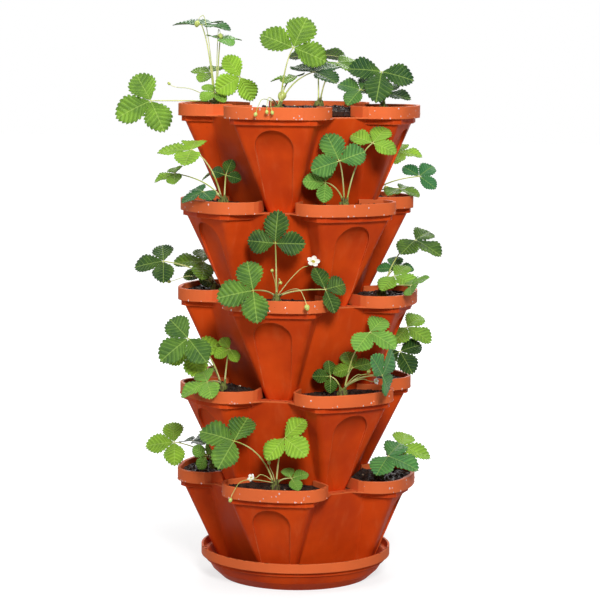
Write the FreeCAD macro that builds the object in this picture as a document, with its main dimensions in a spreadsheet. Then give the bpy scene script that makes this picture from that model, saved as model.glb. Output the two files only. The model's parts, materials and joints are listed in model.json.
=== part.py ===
"""Vertical strawberry planter: five four-lobed stacking pots on a round drip saucer.

Millimetres, +Z up. The origin is the centre of the saucer's underside. The lobes of the odd pots,
counted from the top, point along X and Y, and each pot is turned half a lobe on the one below.
"""
import FreeCAD, Part
import math
import os
import Sketcher
from FreeCAD import Placement, Rotation, Vector

POTS = 5
LOBES = 4
CORNER_CHORDS = 3
QUARTER = 360.0 / LOBES
HALF_LOBE = QUARTER / 2

doc = FreeCAD.newDocument("planter_tower")
sheet = doc.addObject("Spreadsheet::Sheet", "sizes")

SIZES = {
    # The pot as a whole.
    "pot_height": 133.5,
    "wall": 2.5,
    "drain_slot_length": 14.0,
    "drain_slot_width": 5.0,
    "drain_slot_start": 52.0,
    # A lobe's wall: its plan at the foot and at the shoulder under the rim. Its face has two
    # flats that fall back from the middle by the bow.
    "foot_reach": 99.0,
    "foot_half_width": 18.5,
    "shoulder_half_width": 54.0,
    "wall_corner": 10.0,
    "wall_bow": 6.5,
    # A lobe's rim, with a bowed face that turns by the bow from its middle to its corners.
    "rim_reach": 156.5,
    "rim_face_overhang": 8.0,
    "rim_side_overhang": 14.0,
    "rim_corner": 37.0,
    "rim_bow": 16.0,
    "rim_height": 15.5,
    "rim_wall": 3.5,
    # The stepped band under the rim.
    "band_height": 7.0,
    "band_overhang": 2.0,
    "band_corner_cut": 8.0,
    # The valley walls between the lobes: how far they stand back from the lobe's face at the foot
    # and at the top, and the notch that takes the foot of the pot above.
    "valley_foot_depth": 27.0,
    "valley_top_depth": 36.5,
    "valley_corner_fill": 1.5,
    "valley_lap": 2.0,
    "notch_floor_lift": 1.5,
    "notch_clearance": 0.8,
    "rim_end_cut": 5.0,
    # The arched recess on each lobe's face.
    "arch_drop": 11.0,
    "arch_radius": 24.5,
    "arch_foot_half_width": 15.5,
    "arch_depth": 8.0,
    # The soil.
    "soil_gap": 0.3,
    "soil_drop": 7.0,
    # The strawberry plants.
    "crown_inset": 44.5,
    "crown_radius": 8.0,
    "crown_top_radius": 5.5,
    "crown_height": 12.0,
    "stalk_thickness": 2.4,
    "stalk_gap": 0.3,
    "leaflet_thickness": 1.0,
    # The drip saucer.
    "saucer_room": 18.1,
    "saucer_height": 40.0,
    "saucer_rim_height": 12.0,
    "saucer_rim_overhang": 5.5,
    "saucer_band_height": 5.5,
    "saucer_band_overhang": 2.0,
    "saucer_wall": 2.6,
    "saucer_base_inset": 1.0,
    "saucer_bend_out": 11.0,
    "saucer_bend_height": 11.0,
    "saucer_floor_height": 8.0,
    "saucer_floor_margin": 2.0,
}
# What follows from the sizes: each fits on, stands on or clears another piece. The notch's floor,
# which the pot above stands on, gives the pitch of the stack.
DERIVED = {
    "pot_pitch": "(pot_height - rim_height + notch_floor_lift)",
    "shoulder_reach": "(rim_reach - rim_face_overhang)",
    "rim_half_width": "(shoulder_half_width + rim_side_overhang)",
    "valley_foot": "(foot_reach - valley_foot_depth)",
    "valley_top": "(shoulder_reach - valley_top_depth)",
    "arch_height": "(pot_height - rim_height - arch_drop)",
    "crown_reach": "(rim_reach - crown_inset)",
    "saucer_base_radius": "(foot_reach - saucer_base_inset)",
    "saucer_bend_radius": "(foot_reach + saucer_bend_out)",
    "saucer_radius": "(foot_reach + saucer_room + saucer_band_overhang + saucer_rim_overhang)",
}
for row, (alias, value) in enumerate(SIZES.items(), start=1):
    sheet.set("A%d" % row, alias)
    sheet.set("B%d" % row, str(value))
    sheet.setAlias("B%d" % row, alias)
doc.recompute()


def size(formula):
    """The number that a formula of the sheet's values gives now."""
    result = sheet.evalExpression(named(formula))
    return float(getattr(result, "Value", result))


def named(formula):
    """The formula with each alias written as the sheet's own, and what follows from them spelt out."""
    words = []
    word = ""
    for letter in formula + " ":
        if letter.isalnum() or letter == "_":
            word += letter
            continue
        if word in DERIVED:
            words.append(named(DERIVED[word]))
        else:
            words.append("sizes." + word if word in SIZES else word)
        words.append(letter)
        word = ""
    return "".join(words).strip()


def plane(body, role):
    """One of a body's own origin planes."""
    return next(f for f in body.Origin.OriginFeatures if f.Role == role)


def new_body(name):
    return doc.addObject("PartDesign::Body", name)


def plan_sketch(body, name, height, turn=0.0):
    """An empty sketch lying flat at a height, its X axis turned about Z."""
    sketch = body.newObject("Sketcher::SketchObject", name)
    sketch.AttachmentSupport = [(plane(body, "XY_Plane"), "")]
    sketch.MapMode = "FlatFace"
    sketch.AttachmentOffset = Placement(Vector(), Rotation(Vector(0, 0, 1), turn))
    sketch.setExpression("AttachmentOffset.Base.z", named(height))
    return sketch


def side_sketch(body, name, role, turn=0.0):
    """An empty sketch on an upright plane through Z, its Y axis up, turned about Z."""
    sketch = body.newObject("Sketcher::SketchObject", name)
    sketch.AttachmentSupport = [(plane(body, role), "")]
    sketch.MapMode = "FlatFace"
    sketch.AttachmentOffset = Placement(Vector(), Rotation(Vector(0, 1, 0), turn))
    return sketch


def bind(sketch, constraint, formula=None):
    """Add a constraint, and tie its value to a formula of the sheet's values."""
    index = sketch.addConstraint(constraint)
    if formula is not None:
        sketch.setExpression("Constraints[%d]" % index, named(formula))
    return index


SHOULDER = "(pot_height - rim_height)"
FLANGE = "(pot_height - rim_height + wall)"


def tapered(quantity, height):
    """A lobe's size at a height of its tapered wall, in line from the foot to the shoulder."""
    start, end = "foot_" + quantity, "shoulder_" + quantity
    return "(%s + (%s - %s) * (%s) / %s)" % (start, end, start, height, SHOULDER)


def bowed_plan(reach, half_width, corner):
    """The sizes of a bowed plan, whose bow's radius follows from the others and from the bow."""
    face = "(%s + (%s - (%s)) / sin(rim_bow * 1deg))" % (corner, half_width, corner)
    return {"reach": reach, "half_width": half_width, "corner": corner, "face": face}


def rim_plan(inset="0"):
    return bowed_plan(*("(rim_%s - (%s))" % (q, inset) for q in ("reach", "half_width", "corner")))


def draw_polygon(sketch, points):
    """Straight edges through points given as pairs of formulas, "0" where a point is on an axis."""
    places = [Vector(size(x), size(y), 0) for x, y in points]
    count = len(points)
    for i in range(count):
        sketch.addGeometry(Part.LineSegment(places[i], places[(i + 1) % count]), False)
    for i in range(count):
        bind(sketch, Sketcher.Constraint("Coincident", i, 2, (i + 1) % count, 1))
    for i, (x, y) in enumerate(points):
        if x == "0":
            bind(sketch, Sketcher.Constraint("PointOnObject", i, 1, -2))
        else:
            bind(sketch, Sketcher.Constraint("DistanceX", -1, 1, i, 1, places[i].x), x)
        if y == "0":
            bind(sketch, Sketcher.Constraint("PointOnObject", i, 1, -1))
        else:
            bind(sketch, Sketcher.Constraint("DistanceY", -1, 1, i, 1, places[i].y), y)


def draw_bowed(sketch, plan, start=None):
    """A bowed plan: straight sides, round corners and a bowed face, all tangent."""
    reach, half, corner, face = (size(plan[q]) for q in ("reach", "half_width", "corner", "face"))
    begin = size(start) if start else 0.0
    bow = Vector(reach - face, 0, 0)
    rise = half - corner
    bend_x = bow.x + math.sqrt((face - corner) ** 2 - rise ** 2)
    spread = math.atan2(rise, bend_x - bow.x)
    up = Vector(0, 0, 1)
    right_angle = math.pi / 2
    sketch.addGeometry([
        Part.LineSegment(Vector(begin, half, 0), Vector(begin, -half, 0)),
        Part.LineSegment(Vector(begin, -half, 0), Vector(bend_x, -half, 0)),
        Part.ArcOfCircle(Part.Circle(Vector(bend_x, -rise, 0), up, corner), -right_angle, -spread),
        Part.ArcOfCircle(Part.Circle(bow, up, face), -spread, spread),
        Part.ArcOfCircle(Part.Circle(Vector(bend_x, rise, 0), up, corner), spread, right_angle),
        Part.LineSegment(Vector(bend_x, half, 0), Vector(begin, half, 0)),
    ], False)
    bind(sketch, Sketcher.Constraint("Coincident", 0, 2, 1, 1))
    bind(sketch, Sketcher.Constraint("Tangent", 1, 2, 2, 1))
    bind(sketch, Sketcher.Constraint("Tangent", 2, 2, 3, 1))
    bind(sketch, Sketcher.Constraint("Tangent", 3, 2, 4, 1))
    bind(sketch, Sketcher.Constraint("Tangent", 4, 2, 5, 1))
    bind(sketch, Sketcher.Constraint("Coincident", 5, 2, 0, 1))
    bind(sketch, Sketcher.Constraint("Vertical", 0))
    bind(sketch, Sketcher.Constraint("Horizontal", 1))
    bind(sketch, Sketcher.Constraint("Horizontal", 5))
    bind(sketch, Sketcher.Constraint("PointOnObject", 3, 3, -1))
    bind(sketch, Sketcher.Constraint("Radius", 3, face), plan["face"])
    bind(sketch, Sketcher.Constraint("Radius", 2, corner), plan["corner"])
    bind(sketch, Sketcher.Constraint("Radius", 4, corner), plan["corner"])
    bow_out = "%s - (%s)" % (plan["reach"], plan["face"])
    bind(sketch, Sketcher.Constraint("DistanceX", -1, 1, 3, 3, bow.x), bow_out)
    bind(sketch, Sketcher.Constraint("DistanceY", 1, 1, -1, 1, half), plan["half_width"])
    bind(sketch, Sketcher.Constraint("DistanceY", -1, 1, 5, 2, half), plan["half_width"])
    if start:
        bind(sketch, Sketcher.Constraint("DistanceX", -1, 1, 0, 1, begin), start)
    else:
        bind(sketch, Sketcher.Constraint("PointOnObject", 0, 1, -2))


def draw_strip(sketch, start, end, half_width):
    """A rectangle along the sketch's X axis from a start to an end, both sides of the axis."""
    draw_polygon(sketch, [
        (start, "0 - " + half_width), (end, "0 - " + half_width), (end, half_width), (start, half_width),
    ])


ARCH_START = "(foot_reach - arch_foot_half_width * tan(wall_bow * 1deg))"
ARCH_RUN = "(%s - arch_depth - %s)" % (tapered("reach", "arch_height"), ARCH_START)
ARCH_LEAN = "atan(%s / arch_height)" % ARCH_RUN
ARCH_LENGTH = "sqrt(arch_height ^ 2 + %s ^ 2)" % ARCH_RUN


def leaning_sketch(body, name, inset="0"):
    """An empty sketch on the recess's floor, which leans out from the foot of the lobe at +X."""
    sketch = side_sketch(body, name, "YZ_Plane")
    sketch.AttachmentOffset = Placement(Vector(), Rotation(Vector(1, 0, 0), size(ARCH_LEAN)))
    sketch.setExpression("AttachmentOffset.Rotation.Angle", named(ARCH_LEAN))
    start = "%s - (%s) / cos(%s)" % (ARCH_START, inset, ARCH_LEAN)
    sketch.setExpression("AttachmentOffset.Base.z", named(start))
    return sketch


def draw_arch(sketch):
    """The recess's outline: a round top on sides that draw together towards the foot."""
    radius = size("arch_radius")
    centre_up = size("%s - arch_radius" % ARCH_LENGTH)
    foot = size("arch_foot_half_width")
    centre = Vector(0, centre_up, 0)
    touch = math.atan2(-centre_up, foot) + math.acos(radius / math.hypot(foot, centre_up))
    right = centre + Vector(radius * math.cos(touch), radius * math.sin(touch), 0)
    left = Vector(-right.x, right.y, 0)
    sketch.addGeometry([
        Part.LineSegment(Vector(-foot, 0, 0), Vector(foot, 0, 0)),
        Part.LineSegment(Vector(foot, 0, 0), right),
        Part.ArcOfCircle(Part.Circle(centre, Vector(0, 0, 1), radius), touch, math.pi - touch),
        Part.LineSegment(left, Vector(-foot, 0, 0)),
    ], False)
    bind(sketch, Sketcher.Constraint("PointOnObject", 0, 1, -1))
    bind(sketch, Sketcher.Constraint("PointOnObject", 0, 2, -1))
    bind(sketch, Sketcher.Constraint("Coincident", 0, 2, 1, 1))
    bind(sketch, Sketcher.Constraint("Tangent", 1, 2, 2, 1))
    bind(sketch, Sketcher.Constraint("Tangent", 2, 2, 3, 1))
    bind(sketch, Sketcher.Constraint("Coincident", 3, 2, 0, 1))
    bind(sketch, Sketcher.Constraint("PointOnObject", 2, 3, -2))
    bind(sketch, Sketcher.Constraint("Radius", 2, radius), "arch_radius")
    centre_height = "%s - arch_radius" % ARCH_LENGTH
    bind(sketch, Sketcher.Constraint("DistanceY", -1, 1, 2, 3, centre_up), centre_height)
    bind(sketch, Sketcher.Constraint("DistanceX", 0, 1, -1, 1, foot), "arch_foot_half_width")
    bind(sketch, Sketcher.Constraint("DistanceX", -1, 1, 0, 2, foot), "arch_foot_half_width")


def draw_band(sketch):
    """The band's outline: the wall's own at the shoulder, stood out, with its corners cut off."""
    reach = "(shoulder_reach + band_overhang)"
    half = "(shoulder_half_width + band_overhang)"
    corner = "(%s - %s * tan(wall_bow * 1deg))" % (reach, half)
    draw_polygon(sketch, [
        ("0", "0 - " + half), ("%s - band_corner_cut" % corner, "0 - " + half),
        (corner, "band_corner_cut - " + half), (reach, "0"), (corner, "%s - band_corner_cut" % half),
        ("%s - band_corner_cut" % corner, half), ("0", half),
    ])


def draw_chords(sketch, plan, start):
    """A bowed plan's outline from a start outwards in straight lines, with its points on the bowed one."""
    reach, half, corner, face = (plan[q] for q in ("reach", "half_width", "corner", "face"))
    bow = "(%s - %s)" % (reach, face)
    bend = "(%s + (%s - %s) * cos(rim_bow * 1deg))" % (bow, face, corner)
    upper = [(reach, "0")]
    for share in range(CORNER_CHORDS + 1):
        turn = "(rim_bow * 1deg + (90deg - rim_bow * 1deg) * %d / %d)" % (share, CORNER_CHORDS)
        across = "%s - %s + %s * sin(%s)" % (half, corner, corner, turn)
        upper.append(("%s + %s * cos(%s)" % (bend, corner, turn), across))
    upper.append((start, half))
    lower = [(x, "0 - (%s)" % y) for x, y in reversed(upper[1:])]
    draw_polygon(sketch, lower + upper)


def draw_backing(sketch, grow):
    """The outline of the wall behind the recess, with corners cut off beside the arch."""
    foot = "(arch_foot_half_width + %s)" % grow
    side = "(arch_radius + %s)" % grow
    top = "(%s + %s)" % (ARCH_LENGTH, grow)
    cut = "(0.6 * %s)" % side
    draw_polygon(sketch, [
        ("0 - " + foot, "0"), (foot, "0"),
        (side, "%s - %s" % (top, side)), (side, "%s - %s" % (top, cut)),
        ("%s - %s" % (side, cut), top), ("%s - %s" % (cut, side), top),
        ("0 - " + side, "%s - %s" % (top, cut)), ("0 - " + side, "%s - %s" % (top, side)),
    ])


def pad(body, name, sketch, length, both_ways=False):
    feature = body.newObject("PartDesign::Pad", name)
    feature.Profile = sketch
    feature.SideType = "Symmetric" if both_ways else "One side"
    feature.setExpression("Length", named(length))
    return feature


def pocket(body, name, sketch, length, both_ways=False):
    """A pocket cut along the sketch's own normal, or both ways from the sketch."""
    feature = body.newObject("PartDesign::Pocket", name)
    feature.Profile = sketch
    feature.Reversed = not both_ways
    feature.SideType = "Symmetric" if both_ways else "One side"
    feature.setExpression("Length", named(length))
    return feature


def round_the_pot(body, name, originals):
    """The features repeated once for each lobe."""
    pattern = body.newObject("PartDesign::PolarPattern", name)
    pattern.Originals = originals
    pattern.Axis = (next(f for f in body.Origin.OriginFeatures if f.Role == "Z_Axis"), [""])
    pattern.Angle = 360
    pattern.Occurrences = LOBES
    body.Tip = pattern
    return pattern


NOTCH_HALF = "(%s + notch_clearance)" % tapered("half_width", "pot_height - pot_pitch")
VALLEY_SLOPE = "((valley_top - valley_foot) / pot_pitch)"
NOTCH_WALL_START = (
    "(sqrt(2) * (valley_foot + %s * (pot_height - pot_pitch) + notch_clearance) - %s)"
    % (VALLEY_SLOPE, NOTCH_HALF)
)
VALLEY_HALF = "(valley_foot - sqrt(2) * foot_half_width + valley_lap)"
WALL_LEAN = "atan((shoulder_reach - foot_reach) / %s)" % SHOULDER


def valley_reach(height):
    """How far a valley wall lies from the pot's middle at a height."""
    return "(valley_foot + %s * (%s))" % (VALLEY_SLOPE, height)


def build_lobes(body, name, inset, floor, top, valley_top, dressing, measure, amount):
    """The tapered lobes, with dressed corners, and the valley walls between them, drawn in by the inset."""
    low = "(%s - (%s))" % (tapered("half_width", floor), inset)
    high = "(%s - (%s))" % (tapered("half_width", top), inset)
    wedge_sketch = side_sketch(body, name + "_wedge_plan", "YZ_Plane")
    draw_polygon(wedge_sketch, [("0 - " + low, floor), (low, floor), (high, top), ("0 - " + high, top)])
    wedge = pad(body, name + "_wedge", wedge_sketch, "rim_reach")
    nose_sketch = body.newObject("Sketcher::SketchObject", name + "_nose_plan")
    nose_sketch.AttachmentSupport = [(plane(body, "XY_Plane"), "")]
    nose_sketch.MapMode = "FlatFace"
    nose_sketch.AttachmentOffset = Placement(Vector(), Rotation(Vector(0, 1, 0), size(WALL_LEAN)))
    nose_sketch.setExpression("AttachmentOffset.Rotation.Angle", named(WALL_LEAN))
    nose_sketch.setExpression("AttachmentOffset.Base.x", named("foot_reach - (%s)" % inset))
    fall = "rim_half_width * tan(wall_bow * 1deg)"
    draw_polygon(nose_sketch, [
        ("0", "0"), ("0 - " + fall, "0 - rim_half_width"), ("rim_reach", "0 - rim_half_width"),
        ("rim_reach", "rim_half_width"), ("0 - " + fall, "rim_half_width"),
    ])
    nose = pocket(body, name + "_nose", nose_sketch, "4 * pot_height", True)
    round_the_pot(body, name + "_all", [wedge, nose])
    fall = "%s * tan(wall_bow * 1deg) / cos(%s)" % (low, WALL_LEAN)
    corner_x = size("%s - (%s) - %s" % (tapered("reach", floor), inset, fall))
    corner_away = math.hypot(corner_x, size(low))
    dress(body, dressing, name + "_corners", measure, amount,
          lambda e: rises_from(e, size(floor), corner_away))
    valley_sketch = side_sketch(body, name + "_valley_plan", "XZ_Plane", HALF_LOBE)
    draw_polygon(valley_sketch, [
        ("0", floor), ("%s - (%s)" % (valley_reach(floor), inset), floor),
        ("%s - (%s)" % (valley_reach(valley_top), inset), valley_top), ("0", valley_top),
    ])
    valley = pad(body, name + "_valley", valley_sketch, "2 * (%s - (%s))" % (VALLEY_HALF, inset), True)
    round_the_pot(body, name + "_valleys", [valley])


def dress(body, kind, name, measure, formula, chosen):
    """A fillet or chamfer on the edges of the body so far that pass the test."""
    doc.recompute()
    base = body.Tip
    edges = ["Edge%d" % (i + 1) for i, edge in enumerate(base.Shape.Edges) if chosen(edge)]
    if len(edges) % LOBES or not edges:
        raise ValueError("%s found %d edges" % (name, len(edges)))
    feature = body.newObject(kind, name)
    feature.Base = (base, edges)
    feature.setExpression(measure, named(formula))
    body.Tip = feature
    return feature


def rises_from(edge, height, distance):
    """Whether a straight edge climbs from a height at a distance from the pot's middle."""
    if len(edge.Vertexes) != 2:
        return False
    low, high = sorted((v.Point for v in edge.Vertexes), key=lambda p: p.z)
    if abs(low.z - height) > 0.01 or high.z - low.z < 1:
        return False
    return abs(math.hypot(low.x, low.y) - distance) < 0.01


def build_outside():
    """The pot's outer form, solid: lobes, valley walls, band, rim, recesses, notches and holes."""
    body = new_body("pot_outside")
    build_lobes(body, "lobes", "0", "0", "pot_pitch", "pot_pitch", "PartDesign::Fillet", "Radius",
                "wall_corner")
    meet_y = size("foot_half_width")
    meet_away = math.hypot(math.sqrt(2) * size("valley_foot") - meet_y, meet_y)
    dress(body, "PartDesign::Chamfer", "valley_corners", "Size", "valley_corner_fill",
          lambda e: rises_from(e, 0, meet_away))
    band_sketch = plan_sketch(body, "band_plan", "%s - band_height" % SHOULDER)
    draw_band(band_sketch)
    band = pad(body, "band", band_sketch, "band_height")
    rim_sketch = plan_sketch(body, "rim_plan", SHOULDER)
    draw_bowed(rim_sketch, rim_plan())
    rim = pad(body, "rim", rim_sketch, "rim_height")
    round_the_pot(body, "all_rims", [band, rim])
    notch_plan = plan_sketch(body, "notch_plan", "pot_pitch", HALF_LOBE)
    draw_strip(notch_plan, "valley_foot / 2", "rim_reach", NOTCH_HALF)
    notch = pocket(body, "notch", notch_plan, "pot_height")
    recess_plan = leaning_sketch(body, "recess_plan")
    draw_arch(recess_plan)
    recess = pocket(body, "recess", recess_plan, "4 * arch_depth")
    slot_plan = plan_sketch(body, "drain_plan", "0")
    draw_strip(slot_plan, "drain_slot_start", "drain_slot_start + drain_slot_length", "drain_slot_width / 2")
    slot = pocket(body, "drain", slot_plan, "2 * wall")
    round_the_pot(body, "all_cuts", [notch, recess, slot])
    end_across = size(NOTCH_HALF)
    end_away = math.hypot(math.sqrt(2) * size("rim_half_width") + end_across, end_across)
    dress(body, "PartDesign::Chamfer", "rim_ends", "Size", "rim_end_cut",
          lambda e: rises_from(e, size("pot_pitch"), end_away))
    return body


def build_hollow():
    """The space inside the pot's walls, open at the top."""
    body = new_body("pot_hollow")
    build_lobes(body, "hollow", "wall", "wall", FLANGE, "(pot_pitch - wall)", "PartDesign::Chamfer",
                "Size", "0.65 * (wall_corner - wall)")
    mouth_sketch = plan_sketch(body, "mouth_plan", FLANGE)
    draw_chords(mouth_sketch, rim_plan("rim_wall"), "0")
    mouth = pad(body, "mouth", mouth_sketch, "rim_height")
    round_the_pot(body, "all_mouths", [mouth])
    walls_sketch = plan_sketch(body, "notch_walls_plan", "pot_pitch", HALF_LOBE)
    draw_strip(walls_sketch, NOTCH_WALL_START, "rim_reach", "(%s + rim_wall)" % NOTCH_HALF)
    walls = pocket(body, "notch_walls", walls_sketch, "pot_height")
    backing_sketch = leaning_sketch(body, "backing_plan", "wall")
    draw_backing(backing_sketch, "wall")
    backing = pocket(body, "backing", backing_sketch, "4 * (arch_depth + wall)")
    round_the_pot(body, "hollow_cuts", [walls, backing])
    return body


def build_soil(name, start):
    """The soil of one pot. Its middle stops under the pot above, and from the start outwards its
    lobes rise towards the rim."""
    body = new_body(name)
    inset = "(wall + soil_gap)"
    seat = "(pot_pitch - soil_gap)"
    low = "(%s - %s)" % (tapered("half_width", "wall"), inset)
    high = "(%s - %s)" % (tapered("half_width", seat), inset)
    wedge_sketch = side_sketch(body, name + "_wedge_plan", "YZ_Plane")
    draw_polygon(wedge_sketch, [
        ("0 - " + low, "wall"), (low, "wall"), (high, seat), ("0 - " + high, seat),
    ])
    wedge = pad(body, name + "_wedge", wedge_sketch, "rim_reach")
    nose_sketch = leaning_sketch(body, name + "_nose_plan", inset)
    draw_polygon(nose_sketch, [
        ("0 - rim_half_width", "0 - wall"), ("rim_half_width", "0 - wall"),
        ("rim_half_width", "2 * pot_height"), ("0 - rim_half_width", "2 * pot_height"),
    ])
    nose = pocket(body, name + "_nose", nose_sketch, "rim_reach")
    round_the_pot(body, name + "_all", [wedge, nose])
    foot_x = size("%s - %s / cos(%s) + wall * tan(%s)" % (ARCH_START, inset, ARCH_LEAN, ARCH_LEAN))
    foot_away = math.hypot(foot_x, size(low))
    dress(body, "PartDesign::Chamfer", name + "_corners", "Size", "wall_corner - soil_gap",
          lambda e: rises_from(e, size("wall"), foot_away))
    valley_sketch = side_sketch(body, name + "_valley_plan", "XZ_Plane", HALF_LOBE)
    valley_top = "(pot_pitch - wall - soil_gap)"
    draw_polygon(valley_sketch, [
        ("0", "wall"), ("%s - %s" % (valley_reach("wall"), inset), "wall"),
        ("%s - %s" % (valley_reach(valley_top), inset), valley_top), ("0", valley_top),
    ])
    valley = pad(body, name + "_valley", valley_sketch, "2 * (%s - %s)" % (VALLEY_HALF, inset), True)
    round_the_pot(body, name + "_valleys", [valley])
    ledge = "(%s + soil_gap)" % FLANGE
    neck = "(%s - wall_corner)" % high
    reach = "(%s - %s - 2 * %s * tan(wall_bow * 1deg))" % (tapered("reach", seat), inset, high)
    collar_sketch = plan_sketch(body, name + "_collar_plan", seat)
    draw_strip(collar_sketch, start, reach, neck)
    collar = pad(body, name + "_collar", collar_sketch, "%s - %s" % (ledge, seat))
    heap_sketch = plan_sketch(body, name + "_heap_plan", ledge)
    draw_chords(heap_sketch, rim_plan("rim_wall + soil_gap"), start)
    heap = pad(body, name + "_heap", heap_sketch, "pot_height - soil_drop - %s" % ledge)
    round_the_pot(body, name + "_heaps", [collar, heap])
    walls_sketch = plan_sketch(body, name + "_notch_plan", seat, HALF_LOBE)
    half = "(%s + rim_wall + soil_gap)" % NOTCH_HALF
    draw_strip(walls_sketch, NOTCH_WALL_START + " - soil_gap", "rim_reach", half)
    walls = pocket(body, name + "_notches", walls_sketch, "pot_height")
    round_the_pot(body, name + "_cuts", [walls])
    return body


def build_saucer():
    """The round drip saucer, turned from one profile: bowl, stepped band and rim."""
    body = new_body("saucer")
    sketch = side_sketch(body, "saucer_profile", "XZ_Plane")
    rim_foot = "(saucer_height - saucer_rim_height)"
    band_foot = "(%s - saucer_band_height)" % rim_foot
    band_radius = "(saucer_radius - saucer_rim_overhang)"
    bowl_radius = "(%s - saucer_band_overhang)" % band_radius
    step = "(%s + saucer_wall)" % rim_foot
    draw_polygon(sketch, [
        ("0", "0"), ("saucer_base_radius", "0"), ("saucer_bend_radius", "saucer_bend_height"),
        (bowl_radius, band_foot), (band_radius, band_foot),
        (band_radius, rim_foot), ("saucer_radius", rim_foot), ("saucer_radius", "saucer_height"),
        ("saucer_radius - saucer_wall", "saucer_height"), ("saucer_radius - saucer_wall", step),
        (band_radius + " - saucer_wall", step), ("saucer_bend_radius - saucer_wall", "saucer_bend_height"),
        ("foot_reach + saucer_floor_margin", "saucer_floor_height"), ("0", "saucer_floor_height"),
    ])
    turned = body.newObject("PartDesign::Revolution", "turned")
    turned.Profile = sketch
    turned.ReferenceAxis = (sketch, ["V_Axis"])
    turned.Angle = 360
    return body


def build_pot(outside, hollow):
    pot = doc.addObject("Part::Cut", "pot")
    pot.Base = outside
    pot.Tool = hollow
    return pot


def faceted(points, triangles):
    """A closed solid with flat three-sided faces."""
    faces = []
    for corners in triangles:
        ring = [points[i] for i in corners]
        faces.append(Part.Face(Part.makePolygon(ring + ring[:1])))
    solid = Part.Solid(Part.Shell(faces))
    if solid.Volume < 0:
        solid.reverse()
    return solid


def tube(rings):
    """A closed tube through rings of the same number of points, with flat ends."""
    sides = len(rings[0])
    points = [p for ring in rings for p in ring]
    triangles = []
    for r in range(len(rings) - 1):
        for i in range(sides):
            a, b = r * sides + i, r * sides + (i + 1) % sides
            triangles += [(a, b, a + sides), (b, b + sides, a + sides)]
    last = (len(rings) - 1) * sides
    for i in range(1, sides - 1):
        triangles += [(0, i + 1, i), (last, last + i, last + i + 1)]
    return faceted(points, triangles)


def unit(vector):
    return Vector(vector).normalize()


def stalk(start, bend, end, thickness, taper=0.8, steps=2, sides=3):
    """A thin stalk from a start to an end, bowed towards the bend."""
    rings = []
    for k in range(steps + 1):
        t = k / steps
        centre = start * (1 - t) ** 2 + bend * (2 * t * (1 - t)) + end * t ** 2
        along = unit((bend - start) * (1 - t) + (end - bend) * t)
        across = unit(along.cross(Vector(0.3, 1, 0)))
        other = along.cross(across)
        radius = thickness / 2 * (1 - (1 - taper) * t)
        ring = []
        for i in range(sides):
            angle = 2 * math.pi * i / sides
            ring.append(centre + across * (radius * math.cos(angle)) + other * (radius * math.sin(angle)))
        rings.append(ring)
    return tube(rings)


LEAFLET_OUTLINE = [(0.42, 0.37), (0.8, 0.43)]
LEAFLET_FOLD = 0.16
LEAFLET_DROOP = 0.12
LEAFLET_WIDTH = 0.95
LEAFLET_SPREAD = 88


def leaflet(base, along, up, length):
    """A leaflet folded up from its midrib, with its tip drooping. Its edge is thin, its middle thicker."""
    across = up.cross(along)
    width = LEAFLET_WIDTH * length
    thickness = size("leaflet_thickness")

    def place(share, half, lift=0.0):
        height = LEAFLET_FOLD * width * abs(half) - LEAFLET_DROOP * length * share ** 2 + lift
        return base + along * (share * length) + across * (half * width) + up * height

    outline = [place(0, 0)] + [place(share, half) for share, half in LEAFLET_OUTLINE]
    outline += [place(1, 0)] + [place(share, -half) for share, half in reversed(LEAFLET_OUTLINE)]
    count = len(outline)
    points = outline + [place(0.5, 0, thickness / 2), place(0.5, 0, -thickness / 2)]
    triangles = []
    for i in range(count):
        triangles += [(i, (i + 1) % count, count), ((i + 1) % count, i, count + 1)]
    return faceted(points, triangles)


def leaf(root, hub, heading, dip, roll, length):
    """A strawberry leaf: a stalk from the root to the hub, and three leaflets round the hub.

    The middle leaflet points along the heading, in degrees from straight out, and dips below the
    level. The leaf is rolled about that direction, and its side leaflets are a little shorter.
    """
    thickness = size("stalk_thickness")
    run = hub - root
    bend = root + Vector(0.25 * run.x, 0.25 * run.y, 0.75 * run.z)
    solids = [stalk(root, bend, hub, thickness)]
    turn = Rotation(Vector(0, 0, 1), heading)
    turn = turn * Rotation(Vector(0, 1, 0), dip) * Rotation(Vector(1, 0, 0), roll)
    up = turn.multVec(Vector(0, 0, 1))
    gap = 0.35 * thickness + size("stalk_gap")
    for aside, share in ((0, 1.0), (LEAFLET_SPREAD, 0.92), (-LEAFLET_SPREAD, 0.92)):
        angle = math.radians(aside)
        along = turn.multVec(Vector(math.cos(angle), math.sin(angle), 0))
        solids.append(leaflet(hub + along * gap, along, up, share * length))
    return solids


def crown():
    """The short thick stem at soil level that the leaves grow from."""
    rings = []
    for radius, height in ((size("crown_radius"), 0.0), (size("crown_top_radius"), size("crown_height"))):
        ring = []
        for i in range(6):
            angle = math.radians(60 * i)
            ring.append(Vector(radius * math.cos(angle), radius * math.sin(angle), height))
        rings.append(ring)
    return tube(rings)


def plant_shape(leaves):
    """A whole plant round its own crown, straight out from the pot being +X. Its leaves stand as high
    as the pitch of the pots allows."""
    solids = [crown()]
    rise = size("pot_pitch") / LEAVES_PITCH
    top = size("crown_height + stalk_gap + stalk_thickness / 4")
    for out, side, up, heading, dip, roll, length in leaves:
        hub = Vector(out, side, rise * up)
        away = math.atan2(side, out)
        spacing = size("crown_top_radius - stalk_thickness / 2")
        root = Vector(spacing * math.cos(away), spacing * math.sin(away), top)
        solids += leaf(root, hub, heading, dip, roll, length)
    return Part.makeCompound(solids)


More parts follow.
